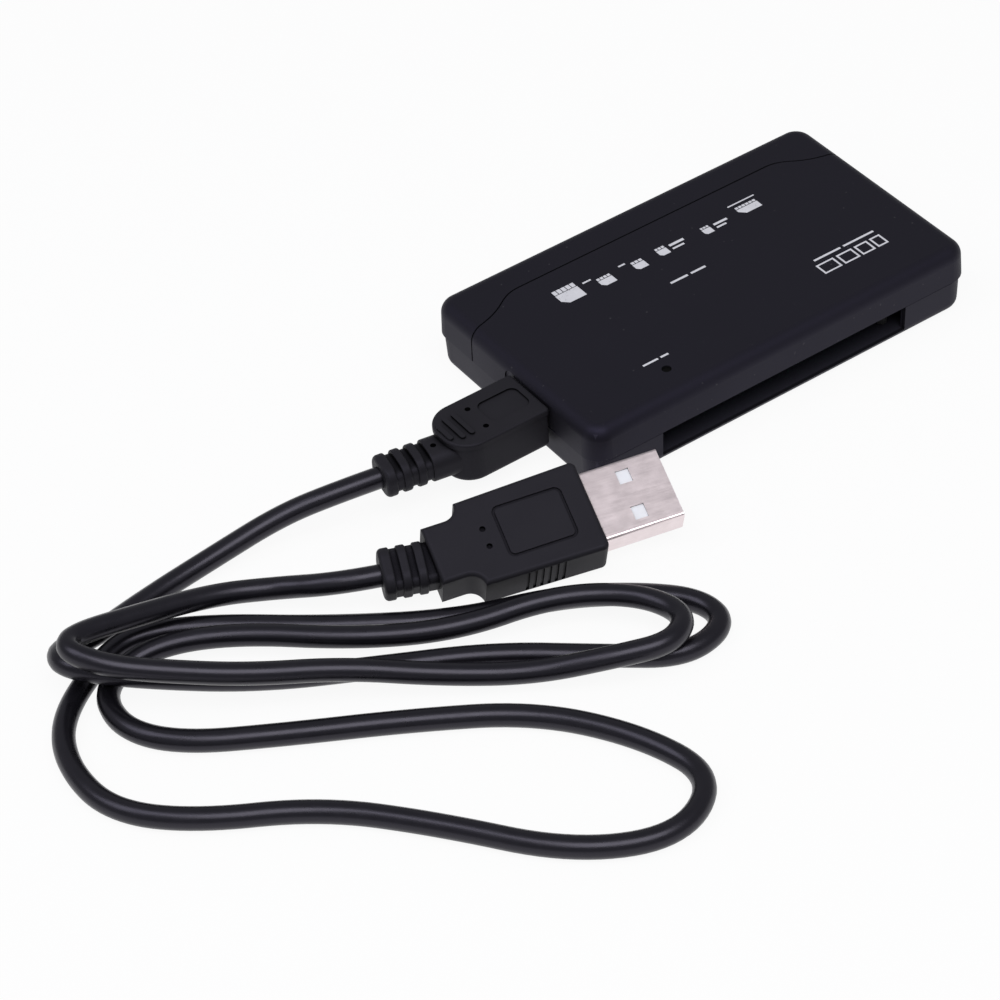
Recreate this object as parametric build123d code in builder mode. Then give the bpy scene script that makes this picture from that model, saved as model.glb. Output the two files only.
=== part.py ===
from build123d import *
from math import cos, radians, sin, tan
import os

os.makedirs("parts", exist_ok=True)

# Casing: overall size, wall and edges
length = 75.0
width = 44.0
height = 12.5
seam_z = 6.4
wall = 1.5
corner_radius = 3.5
top_edge_radius = 2.2
bottom_edge_radius = 2.0
draft = 2.5
seam_inset = 0.3
seam_bevel = 0.2
fit_gap = 0.15

# Tongue that locates the upper half on the lower one
lip_wall = 0.6
lip_height = 1.1

# Edge strip: a waved line across the top, symmetrical about the middle
strip_line_y = 15.5
strip_end_y = 10.9
strip_straight = 50.0
strip_wave_x = 30.4
strip_wave_y = 13.3
strip_gap = 0.28

# Circuit board and the posts that carry it
board_z = 6.9
board_thickness = 1.0
board_margin = 0.45
board_corner = 1.5
post_inset_x = 3.2
post_inset_y = 5.0
post_diameter = 2.6
pin_diameter = 1.2
pin_rise = 0.6

# Access light: a clear pipe through the cover above a small lamp on the board
light_inset_x = 18.6
light_inset_y = 6.2
light_bore = 1.5
light_flange = 2.6
light_flange_thickness = 0.7
light_recess = 0.25
light_gap = 0.1
lamp_length = 1.6
lamp_depth = 0.8
lamp_height = 0.8

# Parts soldered to the board
chip_width = 7.0
chip_height = 1.2
chip_standoff = 0.1
chip_x = 6.0
chip_y = -10.0
chip_leads = 12
chip_lead_pitch = 0.5
chip_lead_width = 0.22
chip_lead_reach = 1.0
chip_lead_thickness = 0.15
crystal_length = 5.0
crystal_width = 3.2
crystal_height = 1.1
crystal_x = -6.5
crystal_y = -10.0
small_part_length = 1.6
small_part_width = 0.8
small_part_height = 0.7

# Wide card slot in the long side, and the pin header behind it
wide_slot_width = 48.5
wide_card_width = 42.8
wide_card_clearance = 0.2
rail_width = 1.9
rail_height = 4.2
rail_lift = 0.3
header_front_y = 5.0
header_depth = 6.0
pin_columns = 25
pin_pitch = 1.27
pin_width = 0.45
pin_reach = 4.6
pin_row_z = 3.3

# Thin card slots: two in the edge strip and a small one in the end
slot_play = 0.3
stick_card_width = 20.0
stick_card_thickness = 1.6
stick_socket_depth = 18.5
square_card_width = 24.0
square_card_thickness = 2.1
square_socket_depth = 22.0
micro_card_width = 11.0
micro_card_thickness = 1.0
micro_socket_depth = 10.0
stick_springs = 10
square_springs = 9
micro_springs = 8
socket_side = 1.1
socket_floor = 0.35
socket_back = 1.6
mouth_setback = 0.4
socket_gap = 1.2
cover_thickness = 0.2
spring_width = 0.6
spring_length = 7.0
spring_thickness = 0.12

# Small port in the short end
port_y = -4.9
port_z = 6.8
port_width = 7.7
port_height = 3.9
port_sheet = 0.3
port_depth = 8.6
port_setback = 0.9
port_opening_gap = 0.3
plug_seat_depth = 0.35
plug_seat_play = 2.6
plug_seat_rise = 0.3
mating_gap = 0.1
tongue_width = 3.7
tongue_thickness = 0.8
tongue_length = 5.4
port_contacts = 5
port_contact_pitch = 0.8
port_contact_width = 0.4
contact_thickness = 0.15

# Moulded plug in the small port
small_grip_length = 16.9
small_grip_width = 10.8
small_grip_thickness = 7.9
small_grip_rear_radius = 4.6
small_grip_front_radius = 0.6
small_grip_top_edge = 0.45
small_grip_bottom_edge = 1.2
small_cap_depth = 1.1
small_body_inset = 0.25
small_plug_depth = 6.6
small_rib_count = 3
small_rib_pitch = 1.7
small_rib_start = 0.9
small_rib_width = 0.8
small_rib_span = 5.8
small_rib_rise = 0.3
small_panel_length = 7.4
small_panel_width = 5.2
small_panel_depth = 0.25
small_dot_setback = 10.0
small_dot_spread = 5.0
dot_diameter = 0.95
dot_depth = 0.6

# Ringed strain reliefs
relief_tilt = 10.0
relief_tilt_large = 8.0
small_relief_collar = 2.7
small_relief_width = 6.9
small_relief_thickness = 5.6
large_relief_width = 7.6
large_relief_thickness = 6.2
relief_rings = 3
relief_groove = 0.95
relief_web_step = 0.3
relief_core_corner = 1.2
ring_thickness = 1.4
ring_pitch = 2.45
ring_corner = 2.3
ring_round = 0.3
end_ring_extra = 0.4
end_ring_round = 0.75

# Large plug: metal shell, tongue and moulded grip
shell_width = 12.0
shell_thickness = 4.5
shell_sheet = 0.3
shell_exposed = 12.7
shell_buried = 4.0
shell_corner = 0.5
window_length = 2.1
window_width = 2.3
window_setback = 6.5
window_spread = 6.3
large_tongue_thickness = 1.9
large_tongue_setback = 0.8
large_contact_width = 1.0
large_contact_pitch = 2.25
large_contact_length = 8.2
large_grip_front = 15.4
large_grip_rear = 14.3
large_grip_length = 19.6
large_grip_thickness = 7.2
large_neck_length = 6.0
large_shoulder = 2.3
large_grip_edge = 0.7
large_front_corner = 1.0
large_frame_front = 3.6
large_frame_length = 11.2
large_frame_width = 8.9
large_frame_groove = 0.5
large_frame_depth = 0.25
large_frame_corner = 1.2
large_dot_setback = 17.0
large_dot_spread = 3.0
grip_notches = 6
grip_notch_pitch = 1.15
grip_notch_width = 0.5
grip_notch_depth = 0.25
grip_notch_start = 7.2

# Where the large plug lies: tipped onto its near lower edge
large_plug_at = (-44.05, -29.85, 6.55)
large_plug_yaw = -14.7
large_plug_pitch = 2.2
large_plug_roll = 22.0

# Lead
lead_diameter = 3.5
lead_first_run = 6.5
lead_bend_share = 0.45

# Casing values that follow from the above
inner_length = length - 2 * wall
inner_width = width - 2 * wall
inner_corner = corner_radius - wall
ceiling_z = height - wall
board_top = board_z + board_thickness
end_x = -length / 2
post_x = length / 2 - post_inset_x
post_y = width / 2 - post_inset_y
light_x = light_inset_x - length / 2
light_y = light_inset_y - width / 2
mouth_x = inner_length / 2 - mouth_setback
mouth_y = inner_width / 2 - mouth_setback
stick_outer = stick_card_width + slot_play + 2 * socket_side
square_outer = square_card_width + slot_play + 2 * socket_side
stick_place = Location(((square_outer + socket_gap) / 2, mouth_y, board_top))
square_place = Location((-(stick_outer + socket_gap) / 2, mouth_y, board_top))
micro_outer = micro_card_width + slot_play + 2 * socket_side
micro_y = post_diameter / 2 + socket_gap + micro_outer / 2 - post_y
micro_place = Location((mouth_x, micro_y, board_top), (0, 0, -90))
stick_bay = stick_card_thickness + slot_play
square_bay = square_card_thickness + slot_play
micro_bay = micro_card_thickness + slot_play
seam_up = Plane.XY.offset(seam_z)
seam_down = Plane(origin=(0, 0, seam_z), x_dir=(1, 0, 0), z_dir=(0, 0, -1))

# Zone of the top that belongs to the edge strip
with BuildSketch(seam_up) as strip_zone:
    with BuildLine():
        middle = Line((-strip_straight / 2, strip_line_y), (strip_straight / 2, strip_line_y))
        wave = Spline(
            middle @ 1,
            (strip_wave_x, strip_wave_y),
            (length / 2 + wall, strip_end_y),
            tangents=((1, 0), (1, -0.1)),
        )
        far_corner = (length / 2 + wall, width / 2 + wall)
        Polyline(wave @ 1, far_corner, (-far_corner[0], far_corner[1]), (-length / 2 - wall, strip_end_y))
        Spline(
            (-length / 2 - wall, strip_end_y),
            (-strip_wave_x, strip_wave_y),
            middle @ 0,
            tangents=((1, 0.1), (1, 0)),
        )
    make_face()

# Mouth of the small port, shared by both halves
with BuildPart() as port_mouth:
    with BuildSketch(Plane(origin=(end_x - wall, port_y, port_z), x_dir=(0, 1, 0), z_dir=(1, 0, 0))):
        RectangleRounded(port_width + 2 * port_opening_gap, port_height + 2 * port_opening_gap, 0.5)
    extrude(amount=3 * wall)

# Shallow seat in the upper half, round the front of the plug's moulding
small_front_x = end_x + seam_inset - mating_gap
seat_height = port_z + small_grip_thickness / 2 + plug_seat_rise - seam_z
with BuildPart() as plug_seat:
    with BuildSketch(Plane(origin=(end_x - wall, port_y, seam_z), x_dir=(0, 1, 0), z_dir=(1, 0, 0))):
        RectangleRounded(small_grip_width + plug_seat_play, 2 * seat_height, plug_seat_play / 2)
    extrude(amount=wall + plug_seat_depth)


# The opening of a thin card slot, drawn with the mouth of its socket at the origin and cards moving along y
def card_opening(card_width, bay):
    with BuildPart() as opening:
        with BuildSketch(Plane.XY.offset(socket_floor)):
            Rectangle(card_width + slot_play, 6 * wall)
        extrude(amount=bay)
    return opening.part


# Upper half before it is divided into cover and strip
with BuildPart() as upper_form:
    with BuildSketch(seam_up):
        RectangleRounded(length, width, corner_radius)
    extrude(amount=height - seam_z, taper=draft)
    fillet(upper_form.edges().group_by(Axis.Z)[-1], top_edge_radius)
    chamfer(upper_form.edges().group_by(Axis.Z)[0], seam_bevel)
    with BuildSketch(seam_up):
        RectangleRounded(inner_length, inner_width, inner_corner)
    extrude(amount=ceiling_z - seam_z, taper=draft, mode=Mode.SUBTRACT)
    with BuildSketch(seam_up):
        lip_room = 2 * (lip_wall + fit_gap)
        RectangleRounded(inner_length + lip_room, inner_width + lip_room, inner_corner + lip_wall)
    extrude(amount=lip_height + fit_gap, mode=Mode.SUBTRACT)
    with BuildSketch(Plane.XY.offset(board_top)):
        with GridLocations(2 * post_x, 2 * post_y, 2, 2):
            Circle(post_diameter / 2)
    extrude(amount=ceiling_z - board_top + wall / 2)
    with BuildSketch(Plane.XY.offset(board_top)):
        with GridLocations(2 * post_x, 2 * post_y, 2, 2):
            Circle(pin_diameter / 2 + fit_gap)
    extrude(amount=pin_rise + 2 * fit_gap, mode=Mode.SUBTRACT)
    add(port_mouth.part, mode=Mode.SUBTRACT)
    add(plug_seat.part, mode=Mode.SUBTRACT)

# Cover: everything on the near side of the waved line
with BuildPart() as top_shell:
    add(upper_form.part)
    with BuildSketch():
        with Locations((0, -strip_gap)):
            add(strip_zone.sketch_local)
    extrude(amount=2 * height, both=True, mode=Mode.SUBTRACT)
    with BuildSketch(Plane.XY.offset(ceiling_z - wall)):
        with Locations((light_x, light_y)):
            Circle(light_bore / 2 + fit_gap / 3)
    extrude(amount=3 * wall, mode=Mode.SUBTRACT)
    with Locations(micro_place):
        add(card_opening(micro_card_width, micro_bay), mode=Mode.SUBTRACT)

# Edge strip: everything on the far side of the line, with two thin slots in its wall
with BuildPart() as edge_strip:
    add(upper_form.part)
    with BuildSketch():
        add(strip_zone.sketch_local)
    extrude(amount=2 * height, both=True, mode=Mode.INTERSECT)
    with Locations(stick_place):
        add(card_opening(stick_card_width, stick_bay), mode=Mode.SUBTRACT)
    with Locations(square_place):
        add(card_opening(square_card_width, square_bay), mode=Mode.SUBTRACT)

# Lower half: a drafted tub with the locating tongue, board posts and the wide card slot
with BuildPart() as bottom_shell:
    with BuildSketch(seam_down):
        RectangleRounded(length - 2 * seam_inset, width - 2 * seam_inset, corner_radius)
    extrude(amount=seam_z, taper=draft)
    fillet(bottom_shell.edges().group_by(Axis.Z)[0], bottom_edge_radius)
    chamfer(bottom_shell.edges().group_by(Axis.Z)[-1], seam_bevel)
    with BuildSketch(seam_up):
        RectangleRounded(inner_length + 2 * lip_wall, inner_width + 2 * lip_wall, inner_corner + lip_wall)
    extrude(amount=lip_height)
    with BuildSketch(Plane.XY.offset(seam_z + lip_height)):
        RectangleRounded(inner_length, inner_width, inner_corner)
    extrude(amount=wall - seam_z - lip_height, mode=Mode.SUBTRACT)
    with BuildSketch(Plane.XY.offset(wall / 2)):
        with GridLocations(2 * post_x, 2 * post_y, 2, 2):
            Circle(post_diameter / 2)
    extrude(amount=board_z - wall / 2)
    with BuildSketch(Plane.XY.offset(wall)):
        with GridLocations(2 * post_x, 2 * post_y, 2, 2):
            Circle(pin_diameter / 2)
    extrude(amount=board_top + pin_rise - wall)
    with BuildSketch(Plane.XY.offset(wall)):
        with Locations((0, -width / 2)):
            Rectangle(wide_slot_width, 4 * wall)
    extrude(amount=height, mode=Mode.SUBTRACT)
    add(port_mouth.part, mode=Mode.SUBTRACT)

# Circuit board, notched for the port that sits through it
port_rear_x = end_x + port_setback + port_depth
with BuildPart() as circuit_board:
    with BuildSketch(Plane.XY.offset(board_z)):
        RectangleRounded(inner_length - 2 * board_margin, inner_width - 2 * board_margin, board_corner)
        with GridLocations(2 * post_x, 2 * post_y, 2, 2):
            Circle(pin_diameter / 2 + fit_gap, mode=Mode.SUBTRACT)
        with Locations((end_x, port_y)):
            Rectangle(2 * (port_rear_x - end_x + fit_gap), port_width + 2 * fit_gap, mode=Mode.SUBTRACT)
    extrude(amount=board_thickness)

# Controller with leads on four sides
with BuildPart() as controller_chip:
    with BuildSketch(Plane.XY.offset(board_top + chip_standoff)):
        with Locations((chip_x, chip_y)):
            Rectangle(chip_width, chip_width)
    extrude(amount=chip_height)
    chamfer(controller_chip.edges().group_by(Axis.Z)[-1], chip_lead_width)
    with BuildSketch(Plane.XY.offset(board_top)):
        with Locations((chip_x, chip_y)):
            with GridLocations(chip_lead_pitch, chip_width + chip_lead_reach, chip_leads, 2):
                Rectangle(chip_lead_width, chip_lead_reach + chip_lead_thickness)
            with GridLocations(chip_width + chip_lead_reach, chip_lead_pitch, 2, chip_leads):
                Rectangle(chip_lead_reach + chip_lead_thickness, chip_lead_width)
    extrude(amount=chip_standoff + chip_lead_thickness)

# Crystal can
with BuildPart() as crystal:
    with BuildSketch(Plane.XY.offset(board_top)):
        with Locations((crystal_x, crystal_y)):
            RectangleRounded(crystal_length, crystal_width, small_part_width / 2)
    extrude(amount=crystal_height)
    fillet(crystal.edges().group_by(Axis.Z)[-1], chip_lead_width)

# Chip capacitors round the controller, and a row of resistors
with BuildPart() as chip_capacitors:
    with BuildSketch(Plane.XY.offset(board_top)):
        with Locations((chip_x, chip_y)):
            with GridLocations(2 * chip_width, chip_width, 2, 2):
                Rectangle(small_part_length, small_part_width)
    extrude(amount=small_part_height)

with BuildPart() as chip_resistors:
    with BuildSketch(Plane.XY.offset(board_top)):
        with Locations((crystal_x, crystal_y - 2 * crystal_width)):
            with GridLocations(2 * small_part_width, 0, 4, 1):
                Rectangle(small_part_width, small_part_length)
    extrude(amount=small_part_height / 2)

# Lamp and light pipe
with BuildPart() as access_lamp:
    with BuildSketch(Plane.XY.offset(board_top)):
        with Locations((light_x, light_y)):
            Rectangle(lamp_length, lamp_depth)
    extrude(amount=lamp_height)

with BuildPart() as light_pipe:
    with BuildSketch(Plane.XY.offset(board_top + lamp_height + light_gap)):
        with Locations((light_x, light_y)):
            Circle(light_bore / 2)
    extrude(amount=height - light_recess - board_top - lamp_height - light_gap)
    with BuildSketch(Plane.XY.offset(ceiling_z - light_flange_thickness)):
        with Locations((light_x, light_y)):
            Circle(light_flange / 2)
    extrude(amount=light_flange_thickness)

# Fifty pins of the wide card header, each turned up to the board behind the header
header_back_y = header_front_y + header_depth
with BuildPart() as wide_pins:
    for row in range(2):
        row_z = pin_row_z + row * pin_pitch
        turn_y = header_back_y + (2 - row) * 2 * pin_width
        with BuildSketch(Plane.XY.offset(row_z)):
            with Locations((0, (header_front_y - pin_reach + turn_y) / 2)):
                with GridLocations(pin_pitch, 0, pin_columns, 1):
                    Rectangle(pin_width, turn_y - header_front_y + pin_reach)
        extrude(amount=pin_width)
        with BuildSketch(Plane.XY.offset(row_z)):
            with Locations((0, turn_y - pin_width / 2)):
                with GridLocations(pin_pitch, 0, pin_columns, 1):
                    Rectangle(pin_width, pin_width)
        extrude(amount=board_z - row_z)

# Header block with the two guide rails of the wide card
rail_base = wall + rail_lift
rail_inner = wide_card_width / 2 + wide_card_clearance
rail_front_y = -inner_width / 2 + rail_width
with BuildPart() as wide_header:
    with BuildSketch(Plane.XY.offset(rail_base)):
        with Locations((0, header_front_y + header_depth / 2)):
            Rectangle(2 * (rail_inner + rail_width), header_depth)
    extrude(amount=board_z - rail_base)
    with BuildSketch(Plane.XY.offset(rail_base)):
        with Locations((0, (rail_front_y + header_front_y) / 2)):
            with GridLocations(2 * rail_inner + rail_width, 0, 2, 1):
                Rectangle(rail_width, header_front_y - rail_front_y)
    extrude(amount=rail_height)
    lead_in = wide_header.edges().filter_by(Axis.Z).group_by(Axis.Y)[0]
    chamfer(lead_in, rail_width / 3)
    add(wide_pins.part, mode=Mode.SUBTRACT)


# A thin card socket, drawn like its opening: spring contacts, a moulded frame and a sheet cover
def socket_springs(card_width, depth, count):
    with BuildPart() as springs:
        with BuildSketch(Plane.XY.offset(socket_floor)):
            with Locations((0, spring_length / 2 - spring_width - depth)):
                with GridLocations(card_width / count, 0, count, 1):
                    Rectangle(spring_width, spring_length)
        extrude(amount=spring_thickness)
    return springs.part


def socket_frame(card_width, bay, depth, count):
    with BuildPart() as frame:
        with BuildSketch():
            with Locations((0, -depth / 2)):
                Rectangle(card_width + slot_play + 2 * socket_side, depth)
        extrude(amount=socket_floor + bay)
        with BuildSketch(Plane.XY.offset(socket_floor)):
            with Locations((0, (socket_back - depth) / 2)):
                Rectangle(card_width + slot_play, depth - socket_back)
        extrude(amount=bay, mode=Mode.SUBTRACT)
        add(socket_springs(card_width, depth, count), mode=Mode.SUBTRACT)
    return frame.part


def socket_cover(card_width, bay, depth):
    with BuildPart() as cover:
        with BuildSketch(Plane.XY.offset(socket_floor + bay)):
            with Locations((0, -depth / 2)):
                Rectangle(card_width + slot_play + 2 * socket_side, depth)
                with GridLocations(card_width / 2, 0, 2, 1):
                    SlotOverall(depth / 2, socket_side, rotation=90, mode=Mode.SUBTRACT)
        extrude(amount=cover_thickness)
    return cover.part


# Socket for long thin cards
with BuildPart() as stick_contacts:
    with Locations(stick_place):
        add(socket_springs(stick_card_width, stick_socket_depth, stick_springs))

with BuildPart() as stick_socket:
    with Locations(stick_place):
        add(socket_frame(stick_card_width, stick_bay, stick_socket_depth, stick_springs))

with BuildPart() as stick_cover:
    with Locations(stick_place):
        add(socket_cover(stick_card_width, stick_bay, stick_socket_depth))

# Socket for square cards
with BuildPart() as square_contacts:
    with Locations(square_place):
        add(socket_springs(square_card_width, square_socket_depth, square_springs))

with BuildPart() as square_socket:
    with Locations(square_place):
        add(socket_frame(square_card_width, square_bay, square_socket_depth, square_springs))

with BuildPart() as square_cover:
    with Locations(square_place):
        add(socket_cover(square_card_width, square_bay, square_socket_depth))

# Socket for the smallest cards, at the end
with BuildPart() as micro_contacts:
    with Locations(micro_place):
        add(socket_springs(micro_card_width, micro_socket_depth, micro_springs))

with BuildPart() as micro_socket:
    with Locations(micro_place):
        add(socket_frame(micro_card_width, micro_bay, micro_socket_depth, micro_springs))

with BuildPart() as micro_cover:
    with Locations(micro_place):
        add(socket_cover(micro_card_width, micro_bay, micro_socket_depth))

# Keystone outline of the small port, looking in from the end
port_mouth_x = end_x + port_setback
port_plane = Plane(origin=(port_mouth_x, port_y, port_z), x_dir=(0, 1, 0), z_dir=(1, 0, 0))
port_foot = port_width - port_height / 2
with BuildSketch() as port_profile:
    with BuildLine():
        Polyline(
            (-port_width / 2, port_height / 2),
            (port_width / 2, port_height / 2),
            (port_width / 2, 0),
            (port_foot / 2, -port_height / 4),
            (port_foot / 2, -port_height / 2),
            (-port_foot / 2, -port_height / 2),
            (-port_foot / 2, -port_height / 4),
            (-port_width / 2, 0),
            close=True,
        )
    make_face()

with BuildPart() as port_shell:
    with BuildSketch(port_plane):
        add(port_profile.sketch_local)
        offset(amount=-port_sheet, kind=Kind.INTERSECTION, mode=Mode.SUBTRACT)
    extrude(amount=port_depth)

# Port contacts run under the tongue, through the back block and up to the board
port_block = port_depth - small_plug_depth - 4 * mating_gap
port_block_start = port_depth - port_block
contact_level = -tongue_thickness / 2
with BuildPart() as port_contact_set:
    with BuildSketch(port_plane.offset(port_block_start - tongue_length + tongue_thickness)):
        with Locations((0, contact_level - contact_thickness / 2)):
            with GridLocations(port_contact_pitch, 0, port_contacts, 1):
                Rectangle(port_contact_width, contact_thickness)
    extrude(amount=tongue_length + port_block)
    with BuildSketch(port_plane.offset(port_depth + tongue_thickness - port_contact_width)):
        with Locations((0, (contact_level - contact_thickness + board_z - port_z) / 2)):
            with GridLocations(port_contact_pitch, 0, port_contacts, 1):
                Rectangle(port_contact_width, board_z - port_z - contact_level + contact_thickness)
    extrude(amount=port_contact_width)

with BuildPart() as port_tongue:
    with BuildSketch(port_plane.offset(port_block_start)):
        add(port_profile.sketch_local)
        offset(amount=-port_sheet, kind=Kind.INTERSECTION, mode=Mode.REPLACE)
    extrude(amount=port_block)
    with BuildSketch(port_plane.offset(port_block_start - tongue_length)):
        Rectangle(tongue_width, tongue_thickness)
    extrude(amount=tongue_length)
    add(port_contact_set.part, mode=Mode.SUBTRACT)

# Metal nose of the small plug, its insulator and contacts
small_plug_face = small_front_x - port_mouth_x
small_nose_start = small_plug_face - 3 * port_sheet
small_nose_length = small_plug_depth - small_nose_start
with BuildPart() as small_nose:
    with BuildSketch(port_plane.offset(small_nose_start)):
        add(port_profile.sketch_local)
        offset(amount=-port_sheet - mating_gap, kind=Kind.INTERSECTION, mode=Mode.REPLACE)
        offset(amount=-port_sheet, kind=Kind.INTERSECTION, mode=Mode.SUBTRACT)
    extrude(amount=small_nose_length)

small_slot_bottom = contact_level - 2 * contact_thickness - mating_gap / 2
with BuildPart() as small_contacts:
    with BuildSketch(port_plane.offset(small_nose_start)):
        with Locations((0, small_slot_bottom + contact_thickness / 2)):
            with GridLocations(port_contact_pitch, 0, port_contacts, 1):
                Rectangle(port_contact_width, contact_thickness)
    extrude(amount=small_nose_length - tongue_thickness)

with BuildPart() as small_insulator:
    with BuildSketch(port_plane.offset(small_nose_start)):
        add(port_profile.sketch_local)
        offset(amount=-2 * port_sheet - mating_gap, kind=Kind.INTERSECTION, mode=Mode.REPLACE)
    extrude(amount=small_nose_length - 2 * mating_gap)
    small_slot_top = tongue_thickness / 2 + mating_gap
    with BuildSketch(port_plane.offset(port_block_start - tongue_length - 2 * mating_gap)):
        with Locations((0, (small_slot_top + small_slot_bottom) / 2)):
            Rectangle(tongue_width + 2 * mating_gap, small_slot_top - small_slot_bottom)
    extrude(amount=small_nose_length, mode=Mode.SUBTRACT)
    add(small_contacts.part, mode=Mode.SUBTRACT)


# A strain relief along a plane's normal: rounded rings on a flat core whose sides stay as webs
def rounded_ring(start, thickness, breadth, depth, far_round):
    run = Axis(start.origin, start.z_dir)
    with BuildPart() as ring:
        with BuildSketch(start):
            RectangleRounded(thickness, breadth, ring_corner)
        extrude(amount=depth)
        fillet(ring.faces().sort_by(run)[0].edges(), ring_round)
        fillet(ring.faces().sort_by(run)[-1].edges(), far_round)
    return ring.part


def strain_relief(start, sink, collar, thickness, breadth):
    with BuildPart() as relief:
        with BuildSketch(start.offset(-sink)):
            RectangleRounded(thickness - 2 * relief_groove, breadth - 2 * relief_web_step, relief_core_corner)
        extrude(amount=sink + collar + relief_rings * ring_pitch)
        for ring in range(1, relief_rings):
            ring_start = start.offset(collar + ring * ring_pitch - ring_thickness)
            add(rounded_ring(ring_start, thickness, breadth, ring_thickness, ring_round))
        end_start = start.offset(collar + relief_rings * ring_pitch - ring_thickness)
        add(rounded_ring(end_start, thickness, breadth, ring_thickness + end_ring_extra, end_ring_round))
    return relief.part


# Moulded grip of the small plug: a rimmed top with ribs and a plain sunk panel, and a ringed strain relief
small_rear_x = small_front_x - small_grip_length
small_top_z = port_z + small_grip_thickness / 2
small_mid_x = (small_front_x + small_rear_x) / 2
relief_run = Vector(-cos(radians(relief_tilt)), sin(radians(relief_tilt)), 0)
small_relief = Plane(origin=(small_rear_x, port_y, port_z), x_dir=(0, 0, 1), z_dir=relief_run)
small_relief_length = small_relief_collar + relief_rings * ring_pitch + end_ring_extra
with BuildSketch() as small_plan:
    with Locations((small_mid_x, port_y)):
        Rectangle(small_grip_length, small_grip_width)
    fillet(small_plan.vertices().group_by(Axis.X)[-1], small_grip_front_radius)
    fillet(small_plan.vertices().group_by(Axis.X)[0], small_grip_rear_radius)

with BuildPart() as small_grip:
    with BuildSketch(Plane.XY.offset(port_z - small_grip_thickness / 2)):
        add(small_plan.sketch_local)
        offset(amount=-small_body_inset, mode=Mode.REPLACE)
    extrude(amount=small_grip_thickness - small_cap_depth / 2)
    fillet(small_grip.edges().group_by(Axis.Z)[0], small_grip_bottom_edge)
    with BuildSketch(Plane.XY.offset(small_top_z - small_cap_depth)):
        add(small_plan.sketch_local)
    extrude(amount=small_cap_depth)
    fillet(small_grip.edges().group_by(Axis.Z)[-1], small_grip_top_edge)
    for rib in range(small_rib_count):
        rib_x = small_rear_x + small_rib_start + rib * small_rib_pitch
        rib_span = small_rib_span if rib else small_rib_span - small_rib_pitch
        with BuildSketch(Plane.XY.offset(small_top_z - small_rib_rise)):
            with Locations((rib_x, port_y)):
                SlotOverall(rib_span, small_rib_width, rotation=90)
        extrude(amount=2 * small_rib_rise)
    with BuildSketch(Plane.XY.offset(small_top_z)):
        with Locations((small_front_x - small_panel_width / 4 - small_panel_length / 2, port_y)):
            RectangleRounded(small_panel_length, small_panel_width, small_panel_width / 4)
    extrude(amount=-small_panel_depth, mode=Mode.SUBTRACT)
    with BuildSketch(Plane.XY.offset(small_top_z)):
        with Locations((small_front_x - small_dot_setback, port_y)):
            with GridLocations(0, small_dot_spread, 1, 2):
                Circle(dot_diameter / 2)
    extrude(amount=-dot_depth, mode=Mode.SUBTRACT)
    small_sink = small_grip_rear_radius / 2
    small_collar = small_sink + small_relief_collar
    small_section = (small_relief_thickness, small_relief_width)
    add(rounded_ring(small_relief.offset(-small_sink), *small_section, small_collar, ring_round))
    add(strain_relief(small_relief, small_sink, small_relief_collar, *small_section))
    with BuildSketch(Plane.XY.offset(port_z + small_relief_thickness / 2)):
        with Locations((small_rear_x - small_relief_collar / 2, port_y)):
            Circle(dot_diameter / 2)
    extrude(amount=-dot_depth, mode=Mode.SUBTRACT)
    add(small_nose.part, mode=Mode.SUBTRACT)
    add(small_insulator.part, mode=Mode.SUBTRACT)
    add(small_contacts.part, mode=Mode.SUBTRACT)

# Place of the large plug; its own forms are drawn nose along x, about the middle of the shell
large_turned = Location(large_plug_at, (0, 0, large_plug_yaw))
large_tipped = large_turned * Location((0, 0, 0), (0, -large_plug_pitch, 0))
large_place = large_tipped * Location((0, 0, 0), (large_plug_roll, 0, 0))
shell_plane = Plane(origin=(-shell_buried, 0, 0), x_dir=(0, 1, 0), z_dir=(1, 0, 0))
shell_length = shell_exposed + shell_buried

# Folded metal shell with two windows above and two below
with BuildPart() as large_shell_form:
    with BuildSketch(shell_plane):
        RectangleRounded(shell_width, shell_thickness, shell_corner)
        offset(amount=-shell_sheet, mode=Mode.SUBTRACT)
    extrude(amount=shell_length)
    with BuildSketch():
        with Locations((window_setback, 0)):
            with GridLocations(0, window_spread, 1, 2):
                Rectangle(window_length, window_width)
    extrude(amount=shell_thickness, both=True, mode=Mode.SUBTRACT)

with BuildPart() as large_shell:
    with Locations(large_place):
        add(large_shell_form.part)

# Contacts on the lower face of the tongue; the outer pair reaches further forward
large_tongue_top = shell_thickness / 2 - shell_sheet
large_contact_z = large_tongue_top - large_tongue_thickness
large_contact_x = shell_exposed - large_tongue_setback - shell_sheet - large_contact_length / 2
with BuildPart() as large_contact_form:
    with BuildSketch(Plane.XY.offset(large_contact_z - contact_thickness / 2)):
        with Locations((large_contact_x, 0)):
            with GridLocations(0, 3 * large_contact_pitch, 1, 2):
                Rectangle(large_contact_length, large_contact_width)
        with Locations((large_contact_x - large_tongue_setback, 0)):
            with GridLocations(0, large_contact_pitch, 1, 2):
                Rectangle(large_contact_length, large_contact_width)
    extrude(amount=contact_thickness)

with BuildPart() as large_contact_set:
    with Locations(large_place):
        add(large_contact_form.part)

# White insulator: a block in the rear of the shell and a tongue along its upper side
with BuildPart() as large_insulator_form:
    with BuildSketch(shell_plane):
        RectangleRounded(shell_width, shell_thickness, shell_corner)
        offset(amount=-shell_sheet, mode=Mode.REPLACE)
    extrude(amount=shell_buried + shell_sheet)
    with BuildSketch(shell_plane):
        with Locations((0, large_tongue_top - large_tongue_thickness / 2)):
            Rectangle(shell_width - 2 * shell_corner, large_tongue_thickness)
    extrude(amount=shell_length - large_tongue_setback)
    add(large_contact_form.part, mode=Mode.SUBTRACT)

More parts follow.
